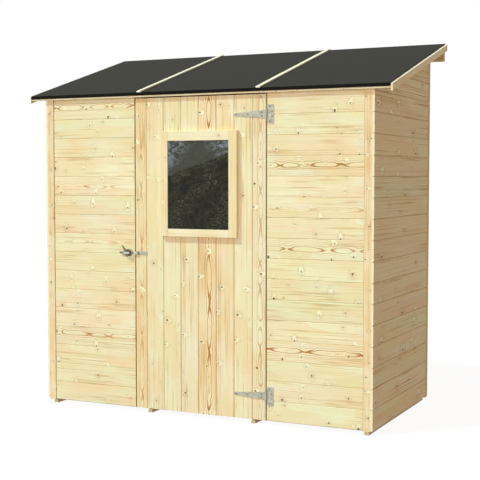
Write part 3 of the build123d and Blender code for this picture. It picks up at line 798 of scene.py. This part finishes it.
# %% Door boards
door_low, door_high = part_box("door_boards")
NARROWEST_M = 0.01
joints = [door_start + DOOR_BOARD_M * i for i in range(1, 9)]
joints = [x for x in joints if door_low.x + NARROWEST_M < x < door_high.x - NARROWEST_M]
edges = [door_low.x, *joints, door_high.x]
planks = []
for left, right in zip(edges, edges[1:]):
    last = right == edges[-1]
    planks.append(board("plank", (left, door_low.y, door_low.z),
                        (right - (0 if last else DOOR_JOINT_M), door_high.y, door_high.z), (1, -1), 0,
                        DOOR_JOINT_M, DOOR_CHAMFER_M))
    if last:
        cut_off(planks[-1], (door_high.x, 0, 0), (1, 0, 0))
PANE_GRIP_M = 0.006
hole_low = (pane_low.x + PANE_GRIP_M, door_low.y - 0.01, pane_low.z + PANE_GRIP_M)
hole_high = (pane_high.x - PANE_GRIP_M, door_high.y + 0.01, pane_high.z - PANE_GRIP_M)
for plank in planks:
    cut_hole(plank, hole_low, hole_high)
door_planks = unite(planks, "door_planks")
finished(door_planks, door_wood, "door", "softwood", "door_boards")

# %% [markdown]
# ## Window frame
# Two stiles run the full height and two rails fit between them, each a planed strip
# with eased edges. A rebate behind the front lip holds the pane.

# %% Window frame
frame_low, frame_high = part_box("window_frame")
pane_hole_low, pane_hole_high = Vector(hole_low), Vector(hole_high)


def frame_member(name, low, high, slot_index):
    """One strip of the frame with eased edges, rebated where the pane sits."""
    made = block(name, low, high)
    pick_edges(made, lambda middle, way: abs(middle.y - frame_low.y) < 1e-6)
    bpy.ops.mesh.bevel(offset=0.0016, segments=3, affect="EDGES")
    bpy.ops.object.mode_set(mode="OBJECT")
    cut_hole(made, (pane_low.x, pane_low.y, pane_low.z), (pane_high.x, frame_high.y + 0.01, pane_high.z))
    made.data.materials.clear()
    made.data.materials.append(stile_wood)
    made.data.materials.append(window_rail_wood)
    for face in made.data.polygons:
        face.material_index = slot_index
    return made


members = []
for x0, x1 in ((frame_low.x, pane_hole_low.x), (pane_hole_high.x, frame_high.x)):
    members.append(frame_member("stile", (x0, frame_low.y, frame_low.z), (x1, frame_high.y, frame_high.z),
                                0))
for z0, z1 in ((frame_low.z, pane_hole_low.z), (pane_hole_high.z, frame_high.z)):
    members.append(frame_member("rail", (pane_hole_low.x, frame_low.y, z0),
                                (pane_hole_high.x, frame_high.y, z1), 1))
window_members = unite(members, "window_frame_members")
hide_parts("window_frame")
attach(window_members, "door")

# %% [markdown]
# ## Screws
# Round-headed screws with a cross slot hold the hinges and the hasp. Each head is
# half a flattened sphere with two narrow slots cut in.

# %% Screws
SCREW_RADIUS_M = 0.0042
SCREW_HEIGHT_M = 0.0022
PLATE_M = 0.003


def screw_head(place, turn):
    """A round screw head with a cross slot, standing off a plate toward the front."""
    bpy.ops.mesh.primitive_uv_sphere_add(segments=20, ring_count=12, radius=1, location=(0, 0, 0))
    head = bpy.context.object
    head.scale = (SCREW_RADIUS_M, SCREW_HEIGHT_M, SCREW_RADIUS_M)
    bpy.ops.object.transform_apply(location=False, rotation=False, scale=True)
    cut_off(head, (0, 0, 0), (0, 1, 0))
    for slot_turn in (turn, turn + 90.0):
        bpy.ops.mesh.primitive_cube_add(size=1, location=(0, -SCREW_HEIGHT_M, 0),
                                        rotation=(0, math.radians(slot_turn), 0))
        cutter = bpy.context.object
        cutter.scale = (1.3 * SCREW_RADIUS_M, 1.2 * SCREW_HEIGHT_M, 0.0011)
        bpy.ops.object.transform_apply(location=True, rotation=True, scale=True)
        subtract(head, cutter)
    head.data.transform(Matrix.Translation(place))
    bpy.ops.object.select_all(action="DESELECT")
    head.select_set(True)
    bpy.ops.object.shade_smooth()
    return head


screw_dice = random.Random(7)
door_screws, shed_screws = [], []
for level in ("lower", "upper"):
    low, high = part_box("hinge_strap_" + level)
    middle = (low.z + high.z) / 2
    face = high.y - PLATE_M
    for share, lift in ((0.06, 0.0), (0.42, 0.0), (0.84, 0.010), (0.84, -0.010)):
        spot = (low.x + share * (high.x - low.x), face, middle + lift)
        door_screws.append(screw_head(spot, screw_dice.uniform(0, 90)))
    low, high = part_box("hinge_plate_" + level)
    for share, height in ((0.52, 0.11), (0.52, 0.89), (0.8, 0.37), (0.8, 0.63)):
        spot = (low.x + share * (high.x - low.x), face, low.z + height * (high.z - low.z))
        shed_screws.append(screw_head(spot, screw_dice.uniform(0, 90)))
low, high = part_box("hasp_hinge_plate")
hasp_screws = []
for share in (0.42, 0.84):
    spot = (low.x + share * (high.x - low.x), high.y - PLATE_M, (low.z + high.z) / 2)
    hasp_screws.append(screw_head(spot, screw_dice.uniform(0, 90)))
finished(unite(door_screws, "door_screws"), screw_zinc, "door", "galvanised_steel")
finished(unite(shed_screws, "wall_screws"), screw_zinc, "shed", "galvanised_steel")
finished(unite(hasp_screws, "hasp_screws"), zinc, "door", "galvanised_steel")

# %% [markdown]
# ## The other CAD pieces
# Posts, rails, battens and fittings already have their true shape, so they stay.
# Their loose triangles are welded and their sharp edges rounded by modifiers.

# %% Finish for the CAD nodes
def soften(name, material, width):
    """Material and a small rounded edge for a CAD node."""
    obj = nodes[name]
    paint(obj, material)
    weld = obj.modifiers.new("weld", "WELD")
    weld.merge_threshold = 0.00002
    edge = obj.modifiers.new("edge", "BEVEL")
    edge.width = width
    edge.segments = 2
    edge.limit_method = "ANGLE"
    edge.angle_limit = math.radians(40)
    edge.harden_normals = False


for name in ("corner_post_front_left", "corner_post_front_right", "side_studs", "back_studs"):
    soften(name, post_wood, 0.0012)
for name in ("door_post_left", "door_post_right", "corner_post_back_left", "corner_post_back_right"):
    soften(name, shade_post_wood, 0.0012)
for name in ("front_top_rail", "front_bottom_rails", "back_bottom_rail", "rear_purlin",
             "front_wall_over_door", "door_ledges"):
    soften(name, rail_wood, 0.001)
for name in ("side_bottom_rails", "side_top_rails"):
    soften(name, side_rail_wood, 0.001)
for name in ("window_bead", "door_brace"):
    soften(name, post_wood, 0.0008)
soften("roof_deck", deck_wood, 0.001)
soften("eave_board", eave_wood, 0.0015)
for name in ("batten_left", "batten_right"):
    soften(name, highlit_batten_wood, 0.001)
soften("rake_board_left", left_rake_wood, 0.001)
soften("rake_board_right", right_rake_wood, 0.001)
soften("floor_deck", floor_wood, 0.001)
soften("floor_joists", joist_wood, 0.001)
for name in ("felt_left", "felt_middle", "felt_right"):
    soften(name, felt, 0.001)
for name in ("hinge_strap_lower", "hinge_strap_upper", "hinge_plate_lower", "hinge_plate_upper",
             "hasp_hinge_plate"):
    soften(name, zinc, 0.0004)
soften("hasp_knob", bright_zinc, 0.0006)
soften("hasp_strap", dull_zinc, 0.0006)
soften("hasp_staple", shade_dark_zinc, 0.0004)
paint(nodes["window_glass"], pane_glass)
